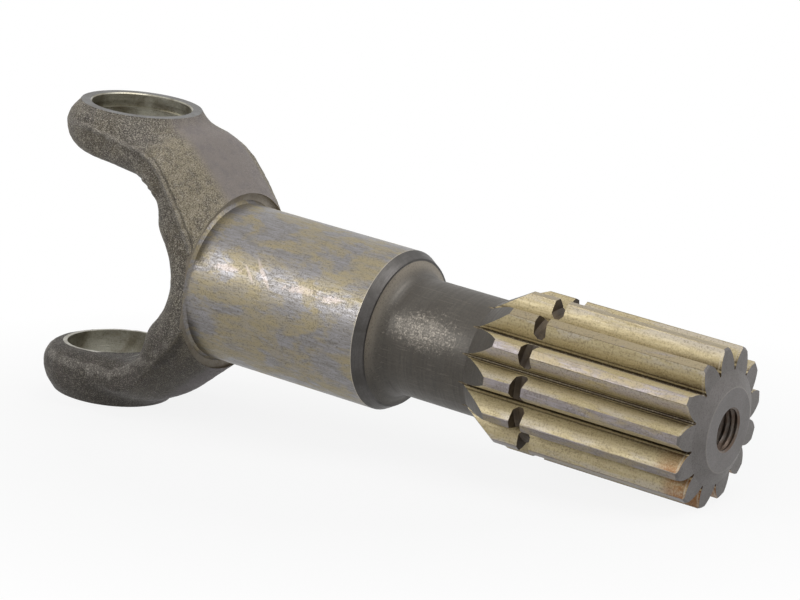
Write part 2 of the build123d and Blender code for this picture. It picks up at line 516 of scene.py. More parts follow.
# %% [markdown]
# ## Rings and a zip
#
# The new wall is a stack of rings of points. The first and the last meet a rim of
# the CAD that has another number of points. So two rings are always closed like a
# zip: the next triangle goes to the ring whose next point comes first.

# %% Cut the thread
COLUMNS = 48
ROWS = 90


def thread_radius(x, turn):
    """Radius of the threaded wall: crests at the hole's radius, roots cut outward."""
    phase = ((thread_start - x) / thread_pitch - turn / (2 * math.pi)) % 1.0
    tooth = max(0.0, 1.0 - abs(phase - 0.5) / 0.42)
    run_in = min(1.0, (thread_start - x) / (0.8 * thread_pitch))
    run_out = min(1.0, max(0.0, (x - thread_end) / thread_pitch - 4.0))
    return hole_radius + thread_depth * tooth * run_in * run_out


def ring_at(x):
    """A ring of new points on the threaded wall."""
    ring = []
    for column in range(COLUMNS):
        turn = -math.pi + 2 * math.pi * (column + 0.5) / COLUMNS
        radius = thread_radius(x, turn)
        ring.append(work.verts.new((x, radius * math.cos(turn), radius * math.sin(turn))))
    return ring


def next_turn(ring, done):
    """The angle of the point that comes after the points of a ring that are done."""
    return round_shaft(ring[(done + 1) % len(ring)]) + 2 * math.pi * ((done + 1) // len(ring))


def zip_rings(first, second):
    """Triangles between two rings of points, whatever their numbers."""
    a = b = 0
    while a < len(first) or b < len(second):
        trio = [first[a % len(first)], second[b % len(second)]]
        first_comes = a < len(first) and next_turn(first, a) <= next_turn(second, b)
        if b >= len(second) or first_comes:
            a += 1
            trio.append(first[a % len(first)])
        else:
            b += 1
            trio.append(second[b % len(second)])
        work.faces.new(trio).material_index = HOLE


thread_points = set()
previous = mouth_points
for row in range(1, ROWS):
    ring = ring_at(thread_start + (thread_end - thread_start) * row / ROWS)
    zip_rings(previous, ring)
    thread_points.update(ring)
    previous = ring
zip_rings(previous, floor_points)
print("thread wall:", sum(face.material_index == HOLE for face in work.faces), "faces,",
      sum(not edge.is_manifold for edge in work.edges), "open edges")

# %% [markdown]
# ## Hand the mesh over
#
# The forged skin and the rims of the hole get fresh, smooth normals. The small
# faces of the thread keep their own, since a cut thread is crisp, and every other
# corner keeps the CAD's. The finished piece rides on the CAD body and stands in for
# the node.

# %% Build the piece
work.normal_update()
work.verts.index_update()
fresh_normal = {}
for zone in (FORGED, HOLE):
    for vert in work.verts:
        own = [face for face in vert.link_faces if face.material_index == zone]
        if own and vert not in thread_points:
            total = Vector()
            for face in own:
                total += face.normal * face.calc_area()
            fresh_normal[zone, vert.index] = total.normalized()
fork_mesh = bpy.data.meshes.new("wheel_fork_dressed")
final_normals = []
for face in work.faces:
    for loop in face.loops:
        normal = fresh_normal.get((face.material_index, loop.vert.index))
        if normal is None:
            kept = loop[corner_normal]
            normal = kept.normalized() if kept.length > 0.1 else face.normal
        final_normals.append(tuple(normal))
    face.smooth = True
work.to_mesh(fork_mesh)
work.free()
fork_mesh.normals_split_custom_set(final_normals)
fork_piece = bpy.data.objects.new("wheel_fork_dressed", fork_mesh)
bpy.context.scene.collection.objects.link(fork_piece)
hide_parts("wheel_fork")
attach(fork_piece, "root")
print("dressed fork:", len(fork_mesh.polygons), "triangles")

# %% [markdown]
# ## Shader helpers
#
# Materials are built from nodes in code. The first helper adds a node and fills its
# sockets. The others each stand for one kind of node, so that a line of code reads
# like the formula it is.

# %% Helpers for nodes
def add_node(tree, kind, values=None, **settings):
    """A new node. values maps a socket's name or number to a number or to another socket."""
    node = tree.nodes.new(kind)
    for name, value in settings.items():
        setattr(node, name, value)
    for name, value in (values or {}).items():
        socket = node.inputs[name]
        if isinstance(value, bpy.types.NodeSocket):
            tree.links.new(value, socket)
        else:
            socket.default_value = value
    return node


def calculate(tree, operation, *numbers, clamp=False):
    """The output of a math node."""
    node = add_node(tree, "ShaderNodeMath", dict(enumerate(numbers)), operation=operation,
                    use_clamp=clamp)
    return node.outputs[0]


def multiply(tree, *factors):
    """The product of two or more numbers, such as masks that all have to be met."""
    product = factors[0]
    for factor in factors[1:]:
        product = calculate(tree, "MULTIPLY", product, factor)
    return product


def vector_math(tree, operation, *vectors):
    """The output of a vector math node: a number for a length or a distance."""
    node = add_node(tree, "ShaderNodeVectorMath", dict(enumerate(vectors)), operation=operation)
    return node.outputs["Value" if operation in ("LENGTH", "DISTANCE") else "Vector"]


def noise_field(tree, place, scale, dimensions="3D", **values):
    """The grey of a noise texture, 0.5 on average."""
    node = add_node(tree, "ShaderNodeTexNoise", {"Vector": place, "Scale": scale, **values},
                    noise_dimensions=dimensions)
    return node.outputs["Fac"]


def smooth_step(tree, value, start, end):
    """0 before start, 1 after end, and a smooth ramp between."""
    node = add_node(tree, "ShaderNodeMapRange",
                    {"Value": value, "From Min": start, "From Max": end},
                    interpolation_type="SMOOTHSTEP")
    return node.outputs["Result"]


print("helpers for nodes:", [helper.__name__ for helper in (
    add_node, calculate, multiply, vector_math, noise_field, smooth_step)])

# %% [markdown]
# ## Node groups
#
# A node group is to a material what a function is to a script: one effect, with
# named inputs and outputs, that serves many finishes. One helper makes an empty
# group, the other places a group in a tree.

# %% Helpers for groups
FLOAT, VECTOR = "NodeSocketFloat", "NodeSocketVector"


def new_group(name, inputs, outputs):
    """An empty group. inputs maps a name to a type and a default, outputs a name to a type."""
    tree = bpy.data.node_groups.new(name, "ShaderNodeTree")
    for label, (kind, default) in inputs.items():
        socket = tree.interface.new_socket(label, in_out="INPUT", socket_type=kind)
        socket.default_value = default
    for label, kind in outputs.items():
        tree.interface.new_socket(label, in_out="OUTPUT", socket_type=kind)
    given = tree.nodes.new("NodeGroupInput").outputs
    result = tree.nodes.new("NodeGroupOutput").inputs
    print("group:", name, "- inputs:", list(inputs), "- outputs:", list(outputs))
    return tree, given, result


def use_group(tree, group, **values):
    """Places a group in a tree, fills its inputs and gives its outputs."""
    return add_node(tree, "ShaderNodeGroup", values, node_tree=group).outputs


# %% [markdown]
# ## Where am I on the part?
#
# Lathe rings, grinding streaks and worn crests all follow the shaft. A group turns
# the place of a point into its distance along the shaft, its distance from the
# axis, its height and its place to the side, all in millimetres, so that every
# finish can ask for them.

# %% Group: place on the part
place_group, _, result = new_group(
    "place on the part", {},
    {"Place": VECTOR, "Along": FLOAT, "Radius": FLOAT, "Height": FLOAT, "Side": FLOAT})
tree = place_group
metres = add_node(tree, "ShaderNodeTexCoord").outputs["Object"]
place = vector_math(tree, "MULTIPLY", metres, (1000, 1000, 1000))
split = add_node(tree, "ShaderNodeSeparateXYZ", {0: place}).outputs
radius = vector_math(tree, "LENGTH", vector_math(tree, "MULTIPLY", place, (0, 1, 1)))
for socket, value in zip(result, (place, split[0], radius, split[2], split[1])):
    tree.links.new(value, socket)

# %% [markdown]
# ## Speckle
#
# Shot-blasted scale and corrosion pits are both salt and pepper: light and dark
# dots, none of them larger than a grain. A fine noise is cut off above one value
# for the light dots and below another for the dark ones, and a broad noise makes
# them denser in some places than in others.

# %% Group: speckle
speckle_group, given, result = new_group(
    "speckle",
    {"Place": (VECTOR, (0, 0, 0)), "Size": (FLOAT, 0.6), "Sharpness": (FLOAT, 0.5)},
    {"Light": FLOAT, "Dark": FLOAT, "Height": FLOAT})
tree = speckle_group
scale = calculate(tree, "DIVIDE", 1.0, given["Size"])
fine = noise_field(tree, given["Place"], scale, Detail=2.0, Roughness=0.6)
broad = noise_field(tree, given["Place"], multiply(tree, scale, 0.13), Detail=3.0)
blur = calculate(tree, "MULTIPLY_ADD", given["Sharpness"], -0.12, 0.14)
drift = calculate(tree, "MULTIPLY_ADD", calculate(tree, "SUBTRACT", broad, 0.5), 0.2, fine)
tree.links.new(smooth_step(tree, drift, calculate(tree, "SUBTRACT", 0.56, blur),
                           calculate(tree, "ADD", 0.6, blur)), result["Light"])
tree.links.new(smooth_step(tree, drift, calculate(tree, "ADD", 0.44, blur),
                           calculate(tree, "SUBTRACT", 0.38, blur)), result["Dark"])
tree.links.new(drift, result["Height"])

# %% [markdown]
# ## Patches
#
# A stain has a ragged edge, as varnish has that has partly worn off. A noise with
# much detail is cut off at a level that depends on how much the stain shall cover.
# The fourth number of the noise is a seed, so that no two finishes have the same
# stains, and a stretch pulls them out along the shaft.

# %% Group: patches
patch_group, given, result = new_group(
    "patches",
    {"Place": (VECTOR, (0, 0, 0)), "Size": (FLOAT, 10.0), "Cover": (FLOAT, 0.5),
     "Blur": (FLOAT, 0.05), "Stretch": (VECTOR, (1, 1, 1)), "Seed": (FLOAT, 0.0)},
    {"Mask": FLOAT})
tree = patch_group
pulled = vector_math(tree, "MULTIPLY", given["Place"], given["Stretch"])
field = noise_field(tree, pulled, calculate(tree, "DIVIDE", 1.0, given["Size"]), "4D",
                    W=given["Seed"], Detail=6.0, Roughness=0.62, Distortion=0.4)
level = calculate(tree, "MULTIPLY_ADD", given["Cover"], -0.4, 0.7)
tree.links.new(smooth_step(tree, field, calculate(tree, "SUBTRACT", level, given["Blur"]),
                           calculate(tree, "ADD", level, given["Blur"])), result["Mask"])

# %% [markdown]
# ## Streaks
#
# A grinding wheel, a lathe tool and a rubbing rag all leave lines that run one way.
# A noise does the same when its place is shrunk along that way before it is looked
# up. Value has all the lines, and Sparse only the strongest of them.

# %% Group: streaks
streak_group, given, result = new_group(
    "streaks",
    {"Place": (VECTOR, (0, 0, 0)), "Pull": (VECTOR, (0.05, 1, 1)), "Size": (FLOAT, 0.5)},
    {"Value": FLOAT, "Sparse": FLOAT, "Height": FLOAT})
tree = streak_group
pulled = vector_math(tree, "MULTIPLY", given["Place"], given["Pull"])
lines = noise_field(tree, pulled, calculate(tree, "DIVIDE", 1.0, given["Size"]),
                    Detail=4.0, Roughness=0.65)
tree.links.new(lines, result["Height"])
tree.links.new(smooth_step(tree, lines, 0.3, 0.7), result["Value"])
tree.links.new(smooth_step(tree, lines, 0.56, 0.66), result["Sparse"])

# %% [markdown]
# ## Bands
#
# A band is a thin line that breaks off here and there. It draws worn edges, a line
# of dirt and painted highlights along edges. It lies where a value, such as the
# distance from the axis, has one height, so the group measures how far off that
# height a point is and lets a noise change the line's width.

# %% Group: band
band_group, given, result = new_group(
    "band of wear and highlight",
    {"Value": (FLOAT, 0.0), "Centre": (FLOAT, 0.0), "Width": (FLOAT, 0.5),
     "Place": (VECTOR, (0, 0, 0))},
    {"Mask": FLOAT})
tree = band_group
away = calculate(tree, "ABSOLUTE", calculate(tree, "SUBTRACT", given["Value"], given["Centre"]))
breaks = noise_field(tree, given["Place"], 0.35, Detail=4.0)
reach = multiply(tree, given["Width"], calculate(tree, "MULTIPLY_ADD", breaks, 1.6, 0.2))
tree.links.new(smooth_step(tree, away, reach, multiply(tree, reach, 0.25)), result["Mask"])

# %% [markdown]
# ## Marks
#
# A single scratch or stain has a place of its own. The group measures the distance
# to its centre in units of its reach, which makes an ellipsoid, turned round the Y
# axis if need be, and a noise frays the rim.

# %% Group: mark
mark_group, given, result = new_group(
    "mark",
    {"Place": (VECTOR, (0, 0, 0)), "Centre": (VECTOR, (0, 0, 0)), "Reach": (VECTOR, (5, 5, 5)),
     "Turn": (FLOAT, 0.0), "Ragged": (FLOAT, 0.6)},
    {"Mask": FLOAT})
tree = mark_group
turned = add_node(tree, "ShaderNodeVectorRotate",
                  {"Vector": given["Place"], "Center": given["Centre"], "Angle": given["Turn"]},
                  rotation_type="Y_AXIS").outputs[0]
offset = vector_math(tree, "SUBTRACT", turned, given["Centre"])
away = vector_math(tree, "LENGTH", vector_math(tree, "DIVIDE", offset, given["Reach"]))
frayed = noise_field(tree, given["Place"], 0.9, Detail=5.0, Roughness=0.7)
away = calculate(tree, "MULTIPLY_ADD", calculate(tree, "SUBTRACT", frayed, 0.5),
                 multiply(tree, given["Ragged"], 3.0), away)
tree.links.new(smooth_step(tree, away, 1.1, 0.6), result["Mask"])

# %% [markdown]
# ## Helpers for materials
#
# A finish is laid on like paint: a ground colour first, then one coat after the
# other, each with a mask, a strength and a colour. Colours are written as they look
# on a screen. The plain numbers of a finish sit on the Principled shader's own
# sockets, and only what changes over the surface is linked to it.

# %% Helpers: material, paint and relief
def srgb(red, green, blue):
    """A colour written as it looks on screen, 0 to 255, as the linear value of a shader."""
    def linear(value):
        value /= 255
        return value / 12.92 if value < 0.04045 else ((value + 0.055) / 1.055) ** 2.4
    return (linear(red), linear(green), linear(blue), 1.0)


def new_material(name, **settings):
    """A material and its node tree. settings go straight on the shader's sockets."""
    material = bpy.data.materials.new(name)
    material.use_nodes = True
    shader = material.node_tree.nodes["Principled BSDF"]
    for label, value in settings.items():
        shader.inputs[label.replace("_", " ")].default_value = value
    return material, material.node_tree


def paint(tree, ground, *coats):
    """A ground colour with coats over it. A coat is a mask, a strength and a colour."""
    colour = srgb(*ground)
    for mask, strength, coat in coats:
        node = add_node(tree, "ShaderNodeMix",
                        {0: multiply(tree, mask, strength), 6: colour, 7: srgb(*coat)},
                        data_type="RGBA", clamp_factor=True)
        colour = node.outputs[2]
    return colour


def wear_and_highlight_line(tree, spot, output, centre, width):
    """The mask of a band where one of the outputs of the place group has a value."""
    return use_group(tree, band_group, Value=spot[output], Centre=centre, Width=width,
                     Place=spot["Place"])["Mask"]


def finish_off(material, linked, height, depth):
    """Links what changes over the surface, and a relief that is depth millimetres deep."""
    tree = material.node_tree
    shader = tree.nodes["Principled BSDF"]
    relief = add_node(tree, "ShaderNodeBump", {"Height": height, "Distance": depth * MM})
    for label, value in {**linked, "Normal": relief.outputs[0]}.items():
        tree.links.new(value, shader.inputs[label])
    print("finish:", material.name, "with", len(tree.nodes), "nodes")


print("a middle grey of 128 on screen is", round(srgb(128, 128, 128)[0], 3), "in a shader")

# %% [markdown]
# ## Forged scale
#
# Scale is iron oxide, so it is dull and brown-black, and shot blasting has dotted
# it with bare, lighter steel. The middle of each arm's back is smoother than its
# flanks, and a painted reflection makes it greyer. The lower half of the fork is
# painted darker, as painted shade. The trim line was cut through the scale after
# the forging had cooled, so it is the lightest and roughest place, with a painted
# shadow line beside it. The mask for it comes from the mesh, where the marks were
# made.

# %% Material: forged scale
forged, tree = new_material("forged_scale", Metallic=0.0, Specular_IOR_Level=0.35)
spot = use_group(tree, place_group)
grain = use_group(tree, speckle_group, Place=spot["Place"], Size=0.42, Sharpness=0.85)
warm = use_group(tree, patch_group, Place=spot["Place"], Size=20.0, Cover=0.5, Blur=0.15)
flake = use_group(tree, patch_group, Place=spot["Place"], Size=4.0, Cover=0.4, Blur=0.06,
                  Seed=3.0)
trim = add_node(tree, "ShaderNodeAttribute", attribute_name="trim").outputs["Fac"]
facing = add_node(tree, "ShaderNodeTexCoord").outputs["Normal"]
facing = add_node(tree, "ShaderNodeSeparateXYZ", {0: facing}).outputs[0]
on_back = multiply(tree, smooth_step(tree, facing, 0.1, 0.4),
                   smooth_step(tree, spot["Along"], 14.0, 26.0))
# The middle of each back has fewer dots, and its grey coat is a painted reflection.
smooth_back_and_sheen = multiply(tree, on_back, smooth_step(tree, spot["Side"], -13.0, -7.0),
                       smooth_step(tree, spot["Side"], 25.0, 19.0))
# Painted shade: the colour darkens towards the bottom of the fork.
painted_shade_low = smooth_step(tree, spot["Height"], 6.0, -34.0)
speckled = calculate(tree, "MULTIPLY_ADD", smooth_back_and_sheen, -0.7, 1.0)
# Fewer light dots show in the painted shade lower down.
light_share = calculate(tree, "MULTIPLY_ADD", painted_shade_low, -0.45, 0.8)
# Painted shadow: a dark line beside the trim ridge, on the side of the back.
painted_trim_shadow = multiply(tree, smooth_step(tree, trim, 0.04, 0.15),
                       smooth_step(tree, trim, 0.45, 0.25), smooth_step(tree, facing, 0.15, 0.4))
torn = calculate(tree, "MULTIPLY", smooth_step(tree, trim, 0.3, 0.7),
                 calculate(tree, "MULTIPLY_ADD", grain["Light"], 0.8, 0.25), clamp=True)
colour = paint(tree, (94, 89, 82),
               (warm["Mask"], 1.0, (100, 92, 77)),
               (on_back, 0.8, (144, 134, 112)),
               (painted_shade_low, 0.85, (46, 41, 36)),
               (flake["Mask"], 0.45, (76, 69, 66)),
               (grain["Dark"], multiply(tree, speckled, 0.8), (40, 36, 31)),
               (grain["Light"], multiply(tree, speckled, light_share), (170, 163, 149)),
               (smooth_back_and_sheen, 0.7, (126, 119, 120)),
               (painted_trim_shadow, 0.6, (42, 37, 33)),
               (torn, 0.85, (166, 160, 151)))
rough = calculate(tree, "MULTIPLY_ADD", grain["Light"], -0.15, 0.62)
relief = calculate(tree, "MULTIPLY_ADD", trim, grain["Height"], grain["Height"])
finish_off(forged, {"Base Color": colour, "Roughness": rough}, relief, depth=0.4)

# %% [markdown]
# ## Machined steel
#
# Bored, faced and turned surfaces are bare metal that has gone dull. They differ in
# colour, in roughness and in the direction of their tool marks, so one function
# makes them all from those values. The raised disc on the end face has a worn edge
# and is a little lighter than the face round it.

# %% Materials: machined faces
def machined(name, base, dark, roughness, metallic, pull, mark_size, mark_depth, disc=None):
    """A dull machined finish with tool marks pulled out along the small numbers of pull.

    disc is the radius of a raised disc and the width of the light line round it.
    """
    material, tree = new_material(name, Metallic=metallic)
    spot = use_group(tree, place_group)
    marks = use_group(tree, streak_group, Place=spot["Place"], Pull=pull, Size=mark_size)
    stains = use_group(tree, patch_group, Place=spot["Place"], Size=9.0, Cover=0.5, Blur=0.15)
    grain = use_group(tree, speckle_group, Place=spot["Place"], Size=0.5, Sharpness=0.6)
    coats = [(stains["Mask"], 1.0, dark), (marks["Value"], 0.3, dark),
             (grain["Dark"], 0.3, (52, 48, 44))]
    if disc:
        radius, width = disc
        inside = smooth_step(tree, spot["Radius"], radius, radius - 0.3)
        coats.append((inside, 0.25, (138, 135, 136)))
        coats.append((wear_and_highlight_line(tree, spot, "Radius", radius, width), 0.4, (160, 154, 148)))
    rough = calculate(tree, "MULTIPLY_ADD", marks["Value"], 0.15, roughness)
    finish_off(material, {"Base Color": paint(tree, base, *coats), "Roughness": rough},
               marks["Height"], mark_depth)
    return material


bored = machined("bored_steel", (186, 184, 171), (122, 116, 100), roughness=0.27,
                 metallic=0.85, pull=(0.04, 0.04, 1.0), mark_size=0.35, mark_depth=0.03)
faced = machined("faced_steel", (114, 114, 113), (98, 96, 93), roughness=0.5,
                 metallic=0.3, pull=(1.0, 1.0, 0.1), mark_size=0.5, mark_depth=0.03)
hub_faced = machined("hub_faced_steel", (178, 170, 158), (146, 136, 121), roughness=0.5,
                     metallic=0.2, pull=(1.0, 0.4, 0.4), mark_size=0.5, mark_depth=0.03)
end_faced = machined("end_faced_steel", (126, 122, 120), (112, 108, 105), roughness=0.5,
                     metallic=0.3, pull=(0.1, 1.0, 1.0), mark_size=0.6, mark_depth=0.02,
                     disc=(14.0, 0.3))
turned = machined("turned_lead", (84, 81, 79), (64, 61, 58), roughness=0.4,
                  metallic=0.5, pull=(1.0, 0.05, 0.05), mark_size=0.35, mark_depth=0.04)
groove_dark = machined("ring_groove_steel", (92, 78, 58), (54, 44, 33), roughness=0.5,
                       metallic=0.3, pull=(1.0, 0.05, 0.05), mark_size=0.4, mark_depth=0.03)

# %% [markdown]
# ## The neck
#
# The neck was turned and left dark, as were the cones that lead up to the teeth.
# Something has rubbed its middle, which shows the bare steel through the dark film
# in one rough patch. The upper side of the big fillet towards the journal carries a
# painted highlight.

# %% Material: turned neck
neck, tree = new_material("turned_neck", Metallic=0.35)
spot = use_group(tree, place_group)
rings = use_group(tree, streak_group, Place=spot["Place"], Pull=(1.0, 0.06, 0.06), Size=0.9)
wiped = use_group(tree, streak_group, Place=spot["Place"], Pull=(0.07, 1.0, 1.0), Size=0.8)
grain = use_group(tree, speckle_group, Place=spot["Place"], Size=0.6, Sharpness=0.7)
rubbed = use_group(tree, mark_group, Place=spot["Place"], Centre=(137, -18.0, 8.0),
                   Reach=(13, 14, 6), Ragged=0.9)
mottled = use_group(tree, patch_group, Place=spot["Place"], Size=7.0, Cover=0.5, Blur=0.12,
                    Seed=8.0)
# Painted highlight: the upper side of the fillet is painted lighter.
fillet_highlight = multiply(tree, smooth_step(tree, spot["Radius"], 20.3, 24.5),
                  smooth_step(tree, spot["Height"], -18.0, 6.0),
                  smooth_step(tree, spot["Along"], 128.0, 124.0))
bare = calculate(tree, "ADD", multiply(tree, grain["Light"], 0.6),
                 multiply(tree, wiped["Value"], 0.4))
colour = paint(tree, (84, 79, 71),
               (rings["Value"], 1.0, (74, 70, 64)),
               (mottled["Mask"], 0.35, (62, 56, 48)),
               (wiped["Value"], 0.45, (56, 52, 48)),
               (wiped["Sparse"], 0.3, (120, 113, 103)),
               (fillet_highlight, 0.85, (158, 149, 135)),
               (multiply(tree, rubbed["Mask"], bare), 0.95, (156, 148, 136)),
               (grain["Dark"], 0.35, (48, 45, 42)))
rough = calculate(tree, "MULTIPLY_ADD", rings["Value"], 0.1, 0.42)
relief = calculate(tree, "ADD", rings["Height"], wiped["Height"])
finish_off(neck, {"Base Color": colour, "Roughness": rough}, relief, depth=0.05)

# %% [markdown]
# ## The ground journal
#
# The journal is ground, so it is the brightest surface. A gold preserving varnish
# has been rubbed off in streaky patches, rust has pricked it, and a few scratches
# cross it, the longest of them askew. The varnish is a thin clear film, so it
# tints the steel more than it hides it.

# %% Material: ground journal
journal, tree = new_material("ground_journal", Metallic=0.65)
spot = use_group(tree, place_group)
streaks = use_group(tree, streak_group, Place=spot["Place"], Pull=(0.12, 1.0, 1.0), Size=0.7)
dashes = use_group(tree, streak_group, Place=spot["Place"], Pull=(0.22, 1.0, 1.0), Size=0.4)
varnish = use_group(tree, patch_group, Place=spot["Place"], Size=7.5, Cover=0.52, Blur=0.055,
                    Stretch=(0.5, 1.0, 1.0), Seed=1.5)
thin = use_group(tree, patch_group, Place=spot["Place"], Size=2.5, Cover=0.5, Blur=0.1,
                 Stretch=(0.3, 1.0, 1.0), Seed=5.0)
pits = use_group(tree, speckle_group, Place=spot["Place"], Size=0.6, Sharpness=0.9)
film = multiply(tree, varnish["Mask"], calculate(tree, "MULTIPLY_ADD", thin["Mask"], 0.45, 0.5))
coats = [(streaks["Value"], 1.0, (120, 116, 112)), (film, 1.0, (148, 137, 109)),
         (dashes["Sparse"], 0.55, (82, 76, 66)), (pits["Dark"], 0.4, (82, 76, 66))]
# Centre and reach in millimetres, turn in radians, and how ragged the scratch is
scratches = [((75.8, -24.0, 12.9), (6.5, 30, 0.8), -0.74, 0.4),
             ((70.5, -24.8, 11.8), (4.0, 30, 0.5), -0.74, 0.5),
             ((61.0, -24.8, 11.8), (6.0, 30, 1.2), 0.1, 0.9),
             ((92.0, -24.9, 11.6), (7.0, 30, 1.3), 0.1, 1.0),
             ((104.0, -25.0, 11.4), (5.0, 30, 1.2), 0.15, 1.0)]
scratch_light = calculate(tree, "MULTIPLY_ADD", streaks["Value"], 0.6, 0.4)
for centre, reach, turn, ragged in scratches:
    scratch = use_group(tree, mark_group, Place=spot["Place"], Centre=centre, Reach=reach,
                        Turn=turn, Ragged=ragged)
    coats.append((multiply(tree, scratch["Mask"], scratch_light), 0.6, (190, 176, 168)))
coats.append((wear_and_highlight_line(tree, spot, "Along", 116.0, 0.5), 0.6, (176, 168, 154)))
# Painted shade: the journal is darkened next to its step at the hub face.
coats.append((smooth_step(tree, spot["Along"], 48.6, 47.9), 0.2, (84, 76, 64)))
rough = calculate(tree, "MULTIPLY_ADD", streaks["Value"], 0.12, 0.34)
rough = calculate(tree, "MULTIPLY_ADD", film, 0.1, rough)
relief = calculate(tree, "MULTIPLY_ADD", pits["Dark"], -1.0, streaks["Height"])
finish_off(journal, {"Base Color": paint(tree, (142, 140, 142), *coats), "Roughness": rough},
           relief, depth=0.03)

# %% [markdown]
# ## The hobbed teeth
#
# The teeth still have most of their varnish, which makes the flanks khaki. It is
# thin next to the crests, and on one tooth it has been rubbed down to the silver of
# the steel. It has gathered and darkened in the roots towards the end of the shaft,
# where rust has begun on the lower teeth. Just above the roots runs a line of dirt.
# The narrow bottom of every root is painted dark, partly as gathered varnish and
# partly as painted shade, and thin painted highlights run along the corners of the
# roots and along the ends of the teeth.

# %% Material: varnished flanks
flanks, tree = new_material("varnished_flanks", Metallic=0.3)
spot = use_group(tree, place_group)
streaks = use_group(tree, streak_group, Place=spot["Place"], Pull=(0.08, 1.0, 1.0), Size=0.7)
worn = use_group(tree, patch_group, Place=spot["Place"], Size=4.0, Cover=0.5, Blur=0.06,
                 Stretch=(0.2, 1.0, 1.0), Seed=2.0)
pits = use_group(tree, speckle_group, Place=spot["Place"], Size=0.6, Sharpness=0.9)
rust = use_group(tree, patch_group, Place=spot["Place"], Size=5.0, Cover=0.75, Blur=0.1,
                 Seed=4.0)
silver = use_group(tree, patch_group, Place=spot["Place"], Size=3.0, Cover=0.7, Blur=0.1,
                   Stretch=(0.3, 1.0, 1.0), Seed=9.0)
thin_varnish = multiply(tree, smooth_step(tree, spot["Radius"], 23.6, 26.2), worn["Mask"])
dark_end = multiply(tree, smooth_step(tree, spot["Along"], 205.0, 238.0),
                    smooth_step(tree, spot["Radius"], 24.0, 20.5))
rusty = multiply(tree, smooth_step(tree, spot["Height"], -3.0, -12.0), rust["Mask"],
                 smooth_step(tree, spot["Along"], 228.0, 236.0))
rubbed_tooth = multiply(tree, smooth_step(tree, spot["Height"], 3.0, 6.0),
                        smooth_step(tree, spot["Height"], 13.0, 10.0),
                        smooth_step(tree, spot["Radius"], 22.5, 24.5), silver["Mask"])
colour = paint(tree, (184, 170, 132),
               (streaks["Value"], 1.0, (166, 151, 114)),
               (thin_varnish, 0.7, (178, 170, 160)),
               (dark_end, 0.8, (74, 54, 32)),
               (wear_and_highlight_line(tree, spot, "Radius", 21.2, 0.5), 0.65, (66, 53, 37)),
               (rusty, 0.9, (142, 92, 40)),
               (rubbed_tooth, 0.75, (164, 155, 156)),
               # The dark root bottom is partly gathered varnish and partly painted shade.
               (smooth_step(tree, spot["Radius"], 20.3, 20.0), 0.85, (58, 44, 30)),
               # Painted highlight: thin light lines along the corners of the roots.
               (wear_and_highlight_line(tree, spot, "Radius", 20.55, 0.45), 0.9, (206, 190, 150)),
               # Painted highlight: a thin light line along the ends of the teeth.
               (wear_and_highlight_line(tree, spot, "Along", 238.4, 0.5), 0.5, (186, 176, 158)),
               (pits["Dark"], 0.4, (88, 76, 50)),
               (pits["Light"], 0.25, (200, 188, 156)))
rough = calculate(tree, "MULTIPLY_ADD", streaks["Value"], 0.1, 0.4)
finish_off(flanks, {"Base Color": colour, "Roughness": rough}, streaks["Height"], depth=0.04)

# %% [markdown]
# ## Bare crests
#
# The crests slide in the hub and are handled most, so the varnish has worn off
# them and the bare steel shows a bluish silver. More of it is left on the upper
# crests, so the cover of the patches depends on the height. The lower crests are
# painted darker, as painted shade.

# %% Material: bare crests
crests, tree = new_material("bare_crests", Metallic=0.5)
spot = use_group(tree, place_group)
streaks = use_group(tree, streak_group, Place=spot["Place"], Pull=(0.1, 1.0, 1.0), Size=0.6)
high_up = smooth_step(tree, spot["Height"], 11.0, 20.0)
varnish = use_group(tree, patch_group, Place=spot["Place"], Size=4.0, Blur=0.1,
                    Cover=calculate(tree, "MULTIPLY_ADD", high_up, 0.4, 0.42),
                    Stretch=(0.3, 1.0, 1.0), Seed=6.0)
pits = use_group(tree, speckle_group, Place=spot["Place"], Size=0.6, Sharpness=0.9)
colour = paint(tree, (150, 143, 145),
               (streaks["Value"], 1.0, (126, 118, 114)),
               (varnish["Mask"], 0.85, (154, 140, 107)),
               # Painted shade: the lower crests are painted darker.
               (smooth_step(tree, spot["Height"], 2.0, -14.0), 0.4, (104, 97, 88)),
               (pits["Dark"], 0.4, (84, 74, 58)))
rough = calculate(tree, "MULTIPLY_ADD", streaks["Value"], 0.12, 0.34)
finish_off(crests, {"Base Color": colour, "Roughness": rough}, streaks["Height"], depth=0.03)

# %% [markdown]
# ## The rusty thread
#
# Nobody wipes out a screw hole, so the thread has a brown film of rust and old
# grease. It is mostly in shadow, and two colours and a grain are enough.

# %% Material: rusty thread
rusty_thread, tree = new_material("rusty_thread", Metallic=0.3, Roughness=0.45)
spot = use_group(tree, place_group)
rust = use_group(tree, patch_group, Place=spot["Place"], Size=3.0, Cover=0.55, Blur=0.1)
grain = use_group(tree, speckle_group, Place=spot["Place"], Size=0.4, Sharpness=0.5)
colour = paint(tree, (112, 103, 95), (rust["Mask"], 1.0, (96, 78, 64)))
finish_off(rusty_thread, {"Base Color": colour}, grain["Height"], depth=0.05)

# %% [markdown]
# ## From zones to finishes
#
# The faces have carried the number of their zone since the start. A mesh looks its
# materials up by the same number, so they only have to be added in the same order.

# %% Put the finishes on the zones
finish_of = {"forged": forged, "bore": bored, "ear_face": faced, "hub_face": hub_faced,
             "journal": journal, "lead": turned, "neck": neck, "flank": flanks,
             "crest": crests, "ring_groove": groove_dark, "end_face": end_faced,
             "hole": rusty_thread}
for zone in ZONES:
    fork_mesh.materials.append(finish_of[zone])
print("finishes:", [material.name for material in fork_mesh.materials])

